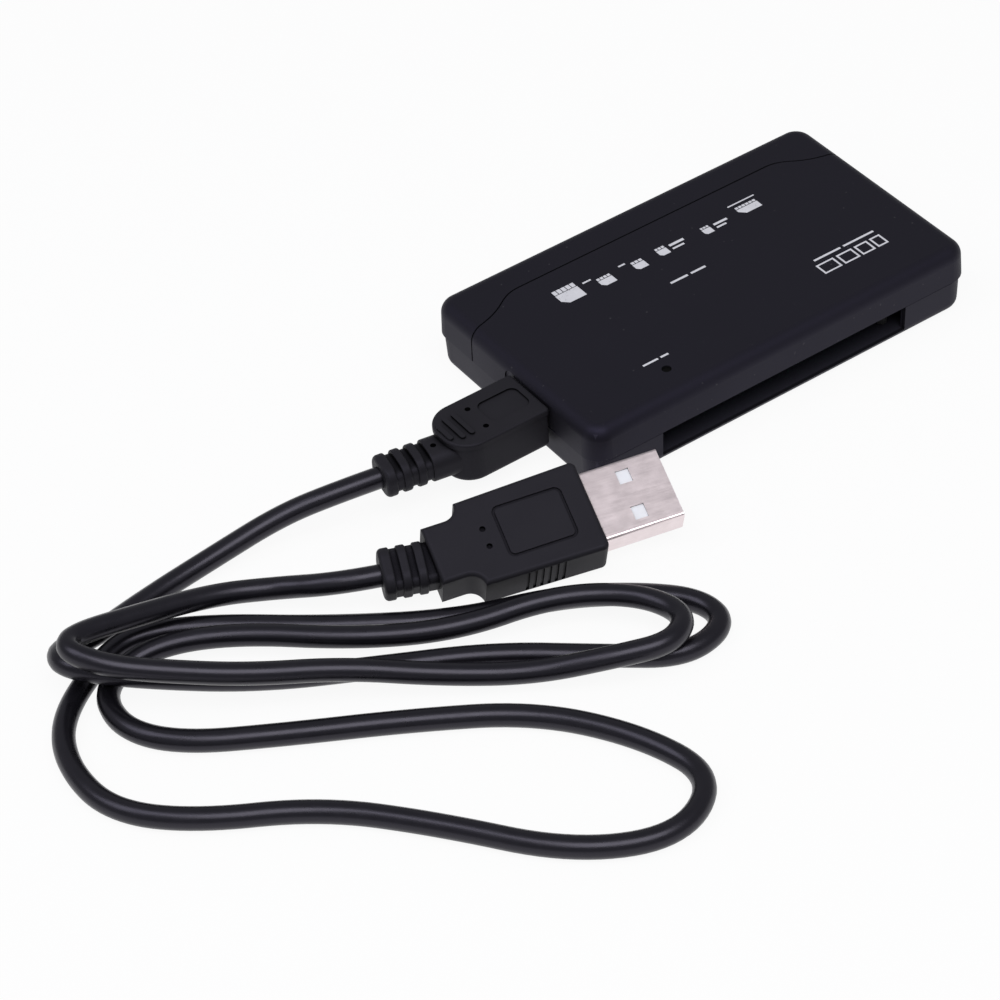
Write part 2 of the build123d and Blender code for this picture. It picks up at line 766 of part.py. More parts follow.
with BuildPart() as large_insulator:
    with Locations(large_place):
        add(large_insulator_form.part)

# Moulded grip of the large plug
large_neck_x = -large_grip_length - large_neck_length
large_relief_run = Vector(-cos(radians(relief_tilt_large)), sin(radians(relief_tilt_large)), 0)
large_relief = Plane(origin=(large_neck_x, 0, 0), x_dir=(0, 0, 1), z_dir=large_relief_run)
grip_narrowing = (large_grip_front - large_grip_rear) / large_grip_length
large_relief_length = relief_rings * ring_pitch + end_ring_extra
with BuildPart() as large_grip_form:
    with BuildSketch(Plane.XY.offset(-large_grip_thickness / 2)) as large_plan:
        with BuildLine():
            side = Line((0, large_grip_front / 2), (-large_grip_length, large_grip_rear / 2))
            neck_y = large_grip_rear / 2 - large_shoulder
            shoulder = RadiusArc(side @ 1, (-large_grip_length - large_shoulder, neck_y), large_shoulder)
            Polyline(shoulder @ 1, (large_neck_x, neck_y), (large_neck_x, 0))
            Line((0, 0), side @ 0)
            mirror(about=Plane.XZ)
        make_face()
        fillet(large_plan.vertices().group_by(Axis.X)[-1], large_front_corner)
    extrude(amount=large_grip_thickness)
    fillet(large_grip_form.edges().group_by(Axis.Z)[-1], large_grip_edge)
    fillet(large_grip_form.edges().group_by(Axis.Z)[0], large_grip_edge)
    with BuildSketch(Plane.XY.offset(large_grip_thickness / 2)):
        with Locations((-large_frame_front - large_frame_length / 2, 0)):
            RectangleRounded(large_frame_length, large_frame_width, large_frame_corner)
            offset(amount=-large_frame_groove, mode=Mode.SUBTRACT)
    extrude(amount=-large_frame_depth, mode=Mode.SUBTRACT)
    with BuildSketch(Plane.XY.offset(large_grip_thickness / 2)):
        with Locations((-large_dot_setback, 0)):
            with GridLocations(0, large_dot_spread, 1, 2):
                Circle(dot_diameter / 2)
    extrude(amount=-dot_depth, mode=Mode.SUBTRACT)
    with BuildSketch(Plane.XY.offset(large_grip_edge - large_grip_thickness / 2)):
        for notch in range(grip_notches):
            notch_x = -grip_notch_start - notch * grip_notch_pitch
            notch_breadth = large_grip_front + grip_narrowing * notch_x
            with Locations((notch_x, 0)):
                with GridLocations(0, notch_breadth, 1, 2):
                    Rectangle(grip_notch_width, 2 * grip_notch_depth)
    extrude(amount=large_grip_thickness - 2 * large_grip_edge, mode=Mode.SUBTRACT)
    add(strain_relief(large_relief, large_neck_length / 2, 0, large_relief_thickness, large_relief_width))
    add(large_shell_form.part, mode=Mode.SUBTRACT)
    add(large_insulator_form.part, mode=Mode.SUBTRACT)

with BuildPart() as large_grip:
    with Locations(large_place):
        add(large_grip_form.part)

# Lead: heights of a strand on the floor and over one and two other strands
lay = lead_diameter / 2
over = lay + lead_diameter + 2 * mating_gap
over_two = over + lead_diameter + mating_gap

# Points of the lead from the small plug to the large one, in the order it was folded
small_end = small_relief.origin + relief_run * small_relief_length
small_lead = [small_end, small_end + relief_run * lead_first_run]
outer_left_fold = [(-79.8, 1.4, 4.6), (-91.6, 2, 2.5), (-104.3, 1.1, lay), (-116, -2.2, 2.9)]
outer_left_back = [(-122.2, -3.3, 5), (-123.3, -8.8, 6.6), (-114.7, -15.7, 4.7), (-100.5, -24.9, 2.3)]
outer_right_run = [(-84.5, -33.2, lay), (-70, -41.2, lay), (-57.8, -51.6, lay), (-48.5, -59.2, lay)]
outer_right_fold = [(-39.6, -57.6, lay), (-39.6, -50.8, lay), (-46.6, -43.6, lay), (-56, -37.2, lay)]
back_strand = [(-70.5, -32, lay), (-86.5, -20.9, lay), (-100, -9.5, lay), (-110, -4.2, lay)]
wide_left_turn = [(-117.7, -6.4, lay), (-127.6, -13.4, lay), (-131.3, -22.5, lay), (-130.6, -33.2, lay)]
near_strand = [(-122.5, -42.2, lay), (-107, -51.2, lay), (-95.8, -63.8, lay), (-84.2, -79.8, lay)]
near_right_turn = [(-70.5, -87, lay), (-59.8, -81, lay), (-63.2, -68, lay), (-72.5, -54.6, lay)]
inner_left_run = [(-87.5, -44.8, lay), (-103, -36, lay), (-116, -28, lay), (-121.2, -20, lay)]
inner_left_turn = [(-119.4, -11.4, lay), (-110.7, -9.1, 3), (-99.3, -14.6, 3.6), (-84.8, -27.7, 3.5)]
front_strand = [(-72, -35.3, 3.5), (-58.1, -39, 4.5), (-48.2, -46.8, 5.1), (-45.2, -55.4, over)]
inner_right_fold = [(-50.8, -59.3, over + 0.6), (-58.5, -56, over), (-68.5, -48.8, 2.6), (-79.5, -41.6, 3.6)]
top_strand = [(-91, -33.6, 5.8), (-103.1, -26.5, 6.5), (-112.7, -19.5, 7.7), (-118.5, -15.5, 9.1)]
top_left_fold = [(-122, -11.3, 10.1), (-122.4, -8.2, 10.1), (-119.7, -6.4, over_two + 0.4)]
large_run = [(-111.6, -6.3, 7.6), (-97.5, -6.8, 4.4), (-88.5, -10.2, 3)]
relief_end_local = large_relief.origin + large_relief_run * large_relief_length
lead_turn_local = relief_end_local + large_relief_run * lead_first_run
large_end = (large_place * Location(relief_end_local)).position
large_lead = [(large_place * Location(lead_turn_local)).position, large_end]
route = small_lead + outer_left_fold + outer_left_back + outer_right_run + outer_right_fold
route = route + back_strand + wide_left_turn + near_strand + near_right_turn + inner_left_run
route = route + inner_left_turn + front_strand + inner_right_fold + top_strand + top_left_fold
route = [Vector(*point) for point in route + large_run + large_lead]

# Bend radius at each inner point, from the shorter of its two runs and the turn between them
bends = []
for before, here, after in zip(route, route[1:], route[2:]):
    shorter = min((here - before).length, (after - here).length)
    turn = (here - before).get_angle(after - here)
    bends.append(lead_bend_share * shorter / tan(radians(turn) / 2))

with BuildPart() as lead:
    with BuildLine() as lead_path:
        FilletPolyline(*route, radius=bends)
    with BuildSketch(Plane(origin=lead_path.line @ 0, z_dir=lead_path.line % 0)):
        Circle(lead_diameter / 2)
    sweep(path=lead_path.line)

print("lead bend radii", [round(bend, 1) for bend in bends])
print("lead length", round(sum(edge.length for edge in lead_path.edges()), 1))

# Label and write every piece
pieces = {
    "top_shell": top_shell,
    "edge_strip": edge_strip,
    "bottom_shell": bottom_shell,
    "circuit_board": circuit_board,
    "controller_chip": controller_chip,
    "crystal": crystal,
    "chip_capacitors": chip_capacitors,
    "chip_resistors": chip_resistors,
    "access_lamp": access_lamp,
    "light_pipe": light_pipe,
    "wide_card_header": wide_header,
    "wide_card_pins": wide_pins,
    "stick_socket": stick_socket,
    "stick_cover": stick_cover,
    "stick_contacts": stick_contacts,
    "square_socket": square_socket,
    "square_cover": square_cover,
    "square_contacts": square_contacts,
    "micro_socket": micro_socket,
    "micro_cover": micro_cover,
    "micro_contacts": micro_contacts,
    "port_shell": port_shell,
    "port_tongue": port_tongue,
    "port_contacts": port_contact_set,
    "small_plug_nose": small_nose,
    "small_plug_insulator": small_insulator,
    "small_plug_contacts": small_contacts,
    "small_plug_grip": small_grip,
    "lead": lead,
    "large_plug_grip": large_grip,
    "large_plug_shell": large_shell,
    "large_plug_insulator": large_insulator,
    "large_plug_contacts": large_contact_set,
}
for name, piece in pieces.items():
    piece.part.label = name
    export_step(piece.part, f"parts/{name}.step")
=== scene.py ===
import math

import bmesh
import bpy
from mathutils import Matrix, Vector


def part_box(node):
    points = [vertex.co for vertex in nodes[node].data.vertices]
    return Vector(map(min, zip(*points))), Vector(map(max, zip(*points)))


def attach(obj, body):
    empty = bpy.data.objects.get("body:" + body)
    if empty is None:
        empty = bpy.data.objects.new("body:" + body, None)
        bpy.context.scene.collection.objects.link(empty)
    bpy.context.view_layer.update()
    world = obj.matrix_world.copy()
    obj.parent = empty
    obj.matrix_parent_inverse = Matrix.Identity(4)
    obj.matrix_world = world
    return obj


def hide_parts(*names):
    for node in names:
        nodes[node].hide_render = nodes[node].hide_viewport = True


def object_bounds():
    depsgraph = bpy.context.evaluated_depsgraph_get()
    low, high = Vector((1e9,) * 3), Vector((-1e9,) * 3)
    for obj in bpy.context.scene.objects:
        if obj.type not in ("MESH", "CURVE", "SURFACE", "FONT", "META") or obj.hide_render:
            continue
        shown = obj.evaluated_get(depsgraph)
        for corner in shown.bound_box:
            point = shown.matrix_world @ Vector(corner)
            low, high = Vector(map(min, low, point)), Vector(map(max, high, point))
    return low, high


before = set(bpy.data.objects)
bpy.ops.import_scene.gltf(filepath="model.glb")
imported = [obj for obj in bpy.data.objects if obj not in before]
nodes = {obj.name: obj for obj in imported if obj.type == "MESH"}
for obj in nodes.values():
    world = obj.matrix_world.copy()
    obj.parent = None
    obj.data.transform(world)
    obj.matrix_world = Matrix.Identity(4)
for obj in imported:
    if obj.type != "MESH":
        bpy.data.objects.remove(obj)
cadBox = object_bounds()
scene = bpy.context.scene
mm = 0.001
creaseAngle = math.radians(32)  # edges sharper than this stay crisp
print("frame loaded:", len(nodes), "nodes")


# Shader maths: a socket that adds and multiplies, and a material that makes nodes
class Sock:
    def __init__(self, paint, outlet):
        self.paint = paint
        self.outlet = outlet

    def maths(self, operation, other=0.0, flipped=False):
        pair = (other, self) if flipped else (self, other)
        return self.paint.node("ShaderNodeMath", dict(enumerate(pair)), operation=operation)

    def __add__(self, other):
        return self.maths("ADD", other)

    def __sub__(self, other):
        return self.maths("SUBTRACT", other)

    def __rsub__(self, other):
        return self.maths("SUBTRACT", other, flipped=True)

    def __mul__(self, other):
        return self.maths("MULTIPLY", other)

    __radd__ = __add__
    __rmul__ = __mul__

    def over(self, limit):
        return self.maths("GREATER_THAN", limit)

    def under(self, limit):
        return self.maths("LESS_THAN", limit)

    def size(self):
        return self.maths("ABSOLUTE")

    def ramp(self, low, high, start=0.0, end=1.0):
        inputs = {"Value": self, "From Min": low, "From Max": high, "To Min": start, "To Max": end}
        return self.paint.node("ShaderNodeMapRange", inputs, clamp=True)


class Paint:
    def __init__(self, name, **constants):
        self.material = bpy.data.materials.new(name)
        self.material.use_nodes = True
        self.tree = self.material.node_tree
        self.shader = self.tree.nodes["Principled BSDF"]
        for socket, value in constants.items():
            self.shader.inputs[socket.replace("_", " ")].default_value = value

    def node(self, kind, inputs=None, outlet=0, **settings):
        made = self.tree.nodes.new(kind)
        for name, value in settings.items():
            setattr(made, name, value)
        for key, value in (inputs or {}).items():
            if isinstance(value, Sock):
                self.tree.links.new(value.outlet, made.inputs[key])
            else:
                made.inputs[key].default_value = value
        return Sock(self, made.outputs[outlet])

    def place(self):
        return self.node("ShaderNodeTexCoord", outlet="Object")

    def axes(self, vector=None):
        vector = vector or self.place()
        return [self.node("ShaderNodeSeparateXYZ", {0: vector}, outlet=axis) for axis in "XYZ"]

    # Grain in mm, turned about the upright axis and then stretched
    def noise(self, grain, detail, stretch=(1, 1, 1), turn=0.0):
        spin = (0, 0, -math.radians(turn))
        turned = self.node("ShaderNodeMapping", {"Vector": self.place(), "Rotation": spin})
        drawn = self.node("ShaderNodeMapping", {"Vector": turned, "Scale": stretch})
        inputs = {"Vector": drawn, "Scale": 1 / (grain * mm), "Detail": detail}
        return self.node("ShaderNodeTexNoise", inputs)

    # How open a place is: 1 on plain faces, less in corners nearer than the reach; used to paint shade
    # into corners
    def openness(self, reach, **settings):
        inputs = {"Distance": reach * mm}
        return self.node("ShaderNodeAmbientOcclusion", inputs, outlet="AO", samples=8, **settings)

    def tint(self, factor, first, second):
        inputs = {0: factor, 6: first, 7: second}
        return self.node("ShaderNodeMix", inputs, outlet=2, data_type="RGBA")

    def bump(self, height, depth, strength):
        inputs = {"Height": height, "Distance": depth * mm, "Strength": strength}
        return self.node("ShaderNodeBump", inputs)

    def set(self, **links):
        for socket, value in links.items():
            self.tree.links.new(value.outlet, self.shader.inputs[socket.replace("_", " ")])


def grey(level, warm=1.0, cool=1.0):
    return (level * warm, level, level * cool, 1.0)


def dress(material, *names):
    for name in names:
        mesh = nodes[name].data
        mesh.materials.clear()
        mesh.materials.append(material)
        mesh.polygons.foreach_set("use_smooth", [True] * len(mesh.polygons))
        mesh.set_sharp_from_angle(angle=creaseAngle)


def meshPiece(name, shape, material):
    mesh = bpy.data.meshes.new(name)
    shape.to_mesh(mesh)
    shape.free()
    piece = bpy.data.objects.new(name, mesh)
    scene.collection.objects.link(piece)
    mesh.materials.append(material)
    return piece


# Camera: fitted to the casing's edges in a 1000 pixel frame
view = {
    "azimuth": math.radians(-31.839),
    "elevation": math.radians(41.842),
    "roll": math.radians(-4.794),
    "framePixels": 1000,
    "focalPixels": 3484.98,
    "originPixel": (703.175, 332.065),
    "distance": 564.87 * mm,
    "sensor": 36.0,
    "nearest": 0.01,
}
backward = Vector(
    (
        math.sin(view["azimuth"]) * math.cos(view["elevation"]),
        -math.cos(view["azimuth"]) * math.cos(view["elevation"]),
        math.sin(view["elevation"]),
    )
)
level = Vector((math.cos(view["azimuth"]), math.sin(view["azimuth"]), 0))
rise = backward.cross(level)
rightward = level * math.cos(view["roll"]) + rise * math.sin(view["roll"])
upward = rise * math.cos(view["roll"]) - level * math.sin(view["roll"])
perPixel = view["distance"] / view["focalPixels"]
half = view["framePixels"] / 2
aside = (view["originPixel"][0] - half) * perPixel
below = (view["originPixel"][1] - half) * perPixel
eye = backward * view["distance"] - rightward * aside + upward * below
camera = bpy.data.cameras.new("camera")
camera.sensor_width = view["sensor"]
camera.sensor_height = view["sensor"]
camera.lens = view["focalPixels"] / view["framePixels"] * view["sensor"]
camera.clip_start = view["nearest"]
cameraObject = bpy.data.objects.new("camera", camera)
scene.collection.objects.link(cameraObject)
facing = Matrix((rightward, upward, backward)).transposed().to_4x4()
cameraObject.matrix_world = Matrix.Translation(eye) @ facing
scene.camera = cameraObject
print("camera set")

# Lead: the same route as the solid one, as one smooth spline in a satin vinyl jacket
smallPlug = {"rear": (-54.2, -4.9, 6.8), "relief": 10.45, "tilt": 10.0}
largePlug = {
    "at": (-44.05, -29.85, 6.55),
    "yaw": -14.7,
    "pitch": 2.2,
    "roll": 22.0,
    "rear": (-25.6, 0, 0),  # from the plug's own middle
    "relief": 7.75,
    "tilt": 8.0,
}
lead = {
    "diameter": 3.5,
    "length": 0.7211,
    "firstRun": 6.5,  # straight out of each strain relief
    "pointSize": 0.1,
    "order": 3,
    "stepsAlong": 10,
    "stepsRound": 6,
    "specular": 0.5,
    "sheen": (0.86, 0.82, 1, 1),
    "tones": [grey(0.0034, 1.05, 1.35), grey(0.0054, 1.05, 1.35)],
    "roughness": (0.26, 0.34),
    "flow": 2.5,
    "grain": 0.12,
    "grainDepth": 0.01,
    "grainStrength": 0.4,
}
lay = lead["diameter"] / 2  # height of a strand on the floor
bends = [
    *[(-79.8, 1.4, 4.6), (-91.6, 2, 2.5), (-104.3, 1.1, lay), (-116, -2.2, 2.9)],
    *[(-122.2, -3.3, 5), (-123.3, -8.8, 6.6), (-114.7, -15.7, 4.7), (-100.5, -24.9, 2.3)],
    *[(-84.5, -33.2, lay), (-70, -41.2, lay), (-57.8, -51.6, lay), (-48.5, -59.2, lay)],
    *[(-39.6, -57.6, lay), (-39.6, -50.8, lay), (-46.6, -43.6, lay), (-56, -37.2, lay)],
    *[(-70.5, -32, lay), (-86.5, -20.9, lay), (-100, -9.5, lay), (-110, -4.2, lay)],
    *[(-117.7, -6.4, lay), (-127.6, -13.4, lay), (-131.3, -22.5, lay), (-130.6, -33.2, lay)],
    *[(-122.5, -42.2, lay), (-107, -51.2, lay), (-95.8, -63.8, lay), (-84.2, -79.8, lay)],
    *[(-70.5, -87, lay), (-59.8, -81, lay), (-63.2, -68, lay), (-72.5, -54.6, lay)],
    *[(-87.5, -44.8, lay), (-103, -36, lay), (-116, -28, lay), (-121.2, -20, lay)],
    *[(-119.4, -11.4, lay), (-110.7, -9.1, 3), (-99.3, -14.6, 3.6), (-84.8, -27.7, 3.5)],
    *[(-72, -35.3, 3.5), (-58.1, -39, 4.5), (-48.2, -46.8, 5.1), (-45.2, -55.4, 5.45)],
    *[(-50.8, -59.3, 6.05), (-58.5, -56, 5.45), (-68.5, -48.8, 2.6), (-79.5, -41.6, 3.6)],
    *[(-91, -33.6, 5.8), (-103.1, -26.5, 6.5), (-112.7, -19.5, 7.7), (-118.5, -15.5, 9.1)],
    *[(-122, -11.3, 10.1), (-122.4, -8.2, 10.1), (-119.7, -6.4, 9.45), (-111.6, -6.3, 7.6)],
    *[(-97.5, -6.8, 4.4), (-88.5, -10.2, 3)],
]


# Way out of a plug's strain relief, and the relief's end
def reliefEnd(plug):
    tilt = math.radians(plug["tilt"])
    run = Vector((-math.cos(tilt), math.sin(tilt), 0))
    return run, Vector(plug["rear"]) + run * plug["relief"]


smallRun, smallEnd = reliefEnd(smallPlug)
largeRun, largeEnd = reliefEnd(largePlug)
largePlace = (
    Matrix.Translation(largePlug["at"])
    @ Matrix.Rotation(math.radians(largePlug["yaw"]), 4, "Z")
    @ Matrix.Rotation(math.radians(-largePlug["pitch"]), 4, "Y")
    @ Matrix.Rotation(math.radians(largePlug["roll"]), 4, "X")
)
route = [smallEnd, smallEnd + smallRun * lead["firstRun"], *bends]
route += [largePlace @ (largeEnd + largeRun * lead["firstRun"]), largePlace @ largeEnd]
leadCurve = bpy.data.curves.new("leadCable", "CURVE")
leadCurve.dimensions = "3D"
leadSpline = leadCurve.splines.new("NURBS")
leadSpline.points.add(len(route) - 1)
for point, spot in zip(leadSpline.points, route):
    point.co = (*(Vector(spot) * mm), 1)
    point.radius = lead["pointSize"] * mm  # kept small, because the curve's box takes it in
leadSpline.order_u = lead["order"]
leadSpline.use_endpoint_u = True
leadSpline.resolution_u = lead["stepsAlong"]
leadCurve.bevel_depth = lead["diameter"] / 2 / lead["pointSize"]  # times each point's radius
leadCurve.bevel_resolution = lead["stepsRound"]
leadCurve.use_fill_caps = True
leadCable = bpy.data.objects.new("leadCable", leadCurve)
scene.collection.objects.link(leadCable)
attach(leadCable, "root")
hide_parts("lead")
plugNodes = ["small_plug_grip", "small_plug_nose"]
plugNodes += ["large_plug_grip", "large_plug_shell", "large_plug_insulator"]
tuple(smallEnd * mm)
jacket = Paint("leadVinyl", Specular_IOR_Level=lead["specular"], Specular_Tint=lead["sheen"])
jacketFlow = jacket.noise(lead["flow"], detail=3)
jacketGrain = jacket.noise(lead["grain"], detail=2)
jacket.set(
    Base_Color=jacket.tint(jacketFlow, *lead["tones"]),
    Roughness=jacketFlow.ramp(0.25, 0.75, *lead["roughness"]),
    Normal=jacket.bump(jacketGrain, lead["grainDepth"], lead["grainStrength"]),
)
leadCurve.materials.append(jacket.material)
print("lead laid:", len(route), "points")

# Casing: soft black finish with a fine grain, faint smudges and a few pale flecks, and painted light
# lifting the colour inside the walls
casing = {
    "nodes": ["top_shell", "edge_strip", "bottom_shell"],
    "specular": 0.31,
    "sheen": (0.62, 0.56, 1, 1),
    "tones": [grey(0.0063, 1.02, 1.15), grey(0.009, 1.02, 1.15)],
    "roughness": (0.5, 0.6),
    "smudge": 14.0,
    "grain": 0.16,
    "grainDepth": 0.02,
    "grainStrength": 0.45,
    "fleck": 0.6,
    "fleckPeaks": (0.845, 0.865),  # part of the noise that shows
    "fleckTone": grey(0.09),
    "fleckShare": 0.35,
    "insidePaintedLight": grey(0.022, 1.05, 1.35),
    "insideReach": (36.3, 20.8, 5.4),  # half the room within the walls
    "insideMiddle": 6.2,
}
soft = Paint("softBlack", Specular_IOR_Level=casing["specular"], Specular_Tint=casing["sheen"])
grain = soft.noise(casing["grain"], detail=3)
smudge = soft.noise(casing["smudge"], detail=4)
fleck = soft.noise(casing["fleck"], detail=0).ramp(*casing["fleckPeaks"])
softX, softY, softZ = soft.axes()
reaches = [softX.size(), softY.size(), (softZ - casing["insideMiddle"] * mm).size()]
within = [reach.under(limit * mm) for reach, limit in zip(reaches, casing["insideReach"])]
coatTone = soft.tint(smudge, *casing["tones"])
fleckedTone = soft.tint(fleck * casing["fleckShare"], coatTone, casing["fleckTone"])
soft.set(
    # painted light: within the walls the colour is lifted to a lighter tone
    Base_Color=soft.tint(within[0] * within[1] * within[2], fleckedTone, casing["insidePaintedLight"]),
    Roughness=smudge.ramp(0.25, 0.75, *casing["roughness"]),
    Normal=soft.bump(grain, casing["grainDepth"], casing["grainStrength"]),
)
dress(soft.material, *casing["nodes"])
print("casing finished")

# Print on the top: plain card shapes, frames and bars in white ink
printMarks = {
    "height": 12.506,
    "thickness": 0.03,
    "line": 0.32,
    "clip": 0.24,  # share of a card's width
    "fingers": 0.3,  # share of a card's depth
    "gap": 0.14,
    "cards": [  # middle x and y, width, depth, contacts
        (-19.7, 8.9, 4.3, 3.9, 5),
        (-13.0, 7.9, 2.7, 2.3, 4),
        (-6.5, 7.8, 2.2, 2.3, 3),
        (-1.6, 8.2, 1.9, 2.2, 3),
        (7.3, 8.0, 1.7, 2.0, 3),
        (16.2, 8.6, 4.2, 2.2, 6),
    ],
    "frames": [  # middle x and y, width, depth
        (16.6, -11.8, 3.5, 2.6),
        (20.5, -11.8, 3.1, 2.6),
        (23.9, -11.8, 2.6, 2.6),
        (26.8, -11.8, 2.1, 2.6),
    ],
    "bars": [  # middle x and y, width, depth
        (-15.7, 9.6, 1.6, 0.35),
        (-8.9, 9.4, 1.3, 0.35),
        (1.5, 8.6, 2.9, 0.55),
        (1.2, 7.6, 2.3, 0.4),
        (10.3, 8.4, 2.7, 0.5),
        (9.9, 7.5, 1.9, 0.4),
        (16.2, 10.6, 5.4, 0.28),
        (-3.9, 0.7, 3.4, 0.45),
        (-0.1, 0.7, 2.9, 0.45),
        (-19.9, -13.0, 2.9, 0.4),
        (-17.2, -13.0, 1.5, 0.4),
        (18.2, -9.3, 5.4, 0.42),
        (24.6, -9.3, 6.2, 0.42),
    ],
    "specular": 0.25,
    "tones": [(0.62, 0.62, 0.67, 1), (0.76, 0.76, 0.80, 1)],
    "roughness": (0.5, 0.62),
    "cloud": 2.0,
    "wear": 0.35,
    "wearPeaks": (0.62, 0.74),
    "wearTone": grey(0.2),
    "wearShare": 0.6,
}
printShape = bmesh.new()


def inkCorners(spots):
    return [printShape.verts.new(Vector((x, y, printMarks["height"])) * mm) for x, y in spots]


def barCorners(x, y, width, depth):
    left, right, low, high = x - width / 2, x + width / 2, y - depth / 2, y + depth / 2
    return inkCorners([(left, low), (right, low), (right, high), (left, high)])


def inkBar(x, y, width, depth):
    printShape.faces.new(barCorners(x, y, width, depth))


# A card with one corner clipped and a row of contacts along its far edge
def inkCard(x, y, width, depth, contacts):
    left, right, low, high = x - width / 2, x + width / 2, y - depth / 2, y + depth / 2
    clip, fingers, gap = printMarks["clip"] * width, printMarks["fingers"] * depth, printMarks["gap"]
    body = high - fingers
    clipped = [(left + clip, low), (right, low), (right, body), (left, body), (left, low + clip)]
    printShape.faces.new(inkCorners(clipped))
    pitch = width / contacts
    for place in range(contacts):
        inkBar(left + pitch * (place + 0.5), high - (fingers - gap) / 2, pitch - gap, fingers - gap)


def inkFrame(x, y, width, depth):
    outer = barCorners(x, y, width, depth)
    inner = barCorners(x, y, width - 2 * printMarks["line"], depth - 2 * printMarks["line"])
    for side in range(4):
        printShape.faces.new((outer[side - 1], outer[side], inner[side], inner[side - 1]))


for draw, kind in ((inkCard, "cards"), (inkFrame, "frames"), (inkBar, "bars")):
    for mark in printMarks[kind]:
        draw(*mark)
sunk = bmesh.ops.extrude_face_region(printShape, geom=printShape.faces[:], use_keep_orig=True)
sunkCorners = [made for made in sunk["geom"] if isinstance(made, bmesh.types.BMVert)]
bmesh.ops.translate(printShape, verts=sunkCorners, vec=(0, 0, -printMarks["thickness"] * mm))
bmesh.ops.recalc_face_normals(printShape, faces=printShape.faces[:])
ink = Paint("whiteInk", Specular_IOR_Level=printMarks["specular"])
inkWear = ink.noise(printMarks["wear"], detail=3).ramp(*printMarks["wearPeaks"])
inkCloud = ink.noise(printMarks["cloud"], detail=2)
inkTone = ink.tint(inkCloud, *printMarks["tones"])
ink.set(
    Base_Color=ink.tint(inkWear * printMarks["wearShare"], inkTone, printMarks["wearTone"]),
    Roughness=inkCloud.ramp(0.25, 0.75, *printMarks["roughness"]),
)
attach(meshPiece("printMarks", printShape, ink.material), "root")
print("print laid")

# Plug grips: moulded vinyl, a shade smoother than the casing, with painted shade darkening the grooves
# between the rings
grips = {
    "nodes": ["small_plug_grip", "large_plug_grip"],
    "specular": 0.14,
    "sheen": (0.78, 0.74, 1, 1),
    "tones": [grey(0.0145, 1.04, 1.18), grey(0.0195, 1.04, 1.18)],
    "roughness": (0.45, 0.55),
    "smudge": 6.0,
    "grain": 0.22,
    "grainDepth": 0.02,
    "grainStrength": 0.45,
    "crevice": 1.8,
    "creviceShadeSpan": (0.5, 0.9),
    "creviceShadeTone": grey(0.0015),
}
vinyl = Paint("gripVinyl", Specular_IOR_Level=grips["specular"], Specular_Tint=grips["sheen"])
vinylGrain = vinyl.noise(grips["grain"], detail=3)
vinylSmudge = vinyl.noise(grips["smudge"], detail=3)
vinylTone = vinyl.tint(vinylSmudge, *grips["tones"])
# painted shade: the colour darkens in the grooves and other crevices
vinylUnshaded = vinyl.openness(grips["crevice"], only_local=True).ramp(*grips["creviceShadeSpan"])
vinyl.set(
    Base_Color=vinyl.tint(vinylUnshaded, grips["creviceShadeTone"], vinylTone),
    Roughness=vinylSmudge.ramp(0.25, 0.75, *grips["roughness"]),
    Normal=vinyl.bump(vinylGrain, grips["grainDepth"], grips["grainStrength"]),
)
dress(vinyl.material, *grips["nodes"])

# Nickel sheet: dull plate with streaks along the plug and a few smudges, with painted shade darkening
# the corners
sheetMetal = {
    "bareNodes": ["large_plug_shell", "small_plug_nose", "port_shell"],
    "shadedCoverNodes": ["stick_cover", "square_cover", "micro_cover"],
    "tones": [(0.795, 0.695, 0.71, 1), (0.935, 0.825, 0.845, 1)],
    "streak": 0.3,
    "streakStretch": (0.08, 1, 1),
    "streakShare": 0.3,
    "streakRough": 0.14,
    "streakDepth": 0.01,
    "streakStrength": 0.35,
    "cloud": 2.6,
    "cloudShare": 0.7,
    "cloudRough": 0.12,
    "roughness": 0.2,
    "corner": 0.5,
    "cornerShadeSpan": (0.5, 0.9),
    "cornerShadeTone": grey(0.12),
    "coverShadeTone": grey(0.004),
    "coverShadeRough": 0.45,
    "coverShadeUpright": 0.9,  # least upward share of a face's normal that gets the painted shade
}


def nickelSheet(name):
    look = sheetMetal
    sheet = Paint(name, Metallic=1.0)
    streak = sheet.noise(look["streak"], 4, look["streakStretch"], largePlug["yaw"])
    cloud = sheet.noise(look["cloud"], detail=5)
    blend = streak.ramp(0.3, 0.7) * look["streakShare"] + cloud.ramp(0.3, 0.7) * look["cloudShare"]
    # painted shade: darker colour in corners and recesses, such as the walls of the windows
    unshaded = sheet.openness(look["corner"]).ramp(*look["cornerShadeSpan"])
    tone = sheet.tint(unshaded, look["cornerShadeTone"], sheet.tint(blend, *look["tones"]))
    rough = streak * look["streakRough"] + cloud * look["cloudRough"] + look["roughness"]
    return sheet, tone, rough, sheet.bump(streak, look["streakDepth"], look["streakStrength"])


nickel, nickelTone, nickelRough, nickelBump = nickelSheet("nickelPlate")
nickel.set(Base_Color=nickelTone, Roughness=nickelRough, Normal=nickelBump)
dress(nickel.material, *sheetMetal["bareNodes"])

# Socket covers: the same sheet, with their upward faces painted black as painted shade, standing in
# for the shadow seen through the gap beside the edge strip
shadedCovers, sheetTone, sheetRough, sheetBump = nickelSheet("coverShadeSheet")
faceAxes = shadedCovers.axes(shadedCovers.node("ShaderNodeNewGeometry", outlet="Normal"))
# painted shade: upward faces turn black and non-metallic, a dark sheet where only shade should show
coverShade = faceAxes[2].over(sheetMetal["coverShadeUpright"])
shadedCovers.set(
    Base_Color=shadedCovers.tint(coverShade, sheetTone, sheetMetal["coverShadeTone"]),
    Roughness=sheetRough * (1 - coverShade) + coverShade * sheetMetal["coverShadeRough"],
    Metallic=1 - coverShade,
    Normal=sheetBump,
)
dress(shadedCovers.material, *sheetMetal["shadedCoverNodes"])

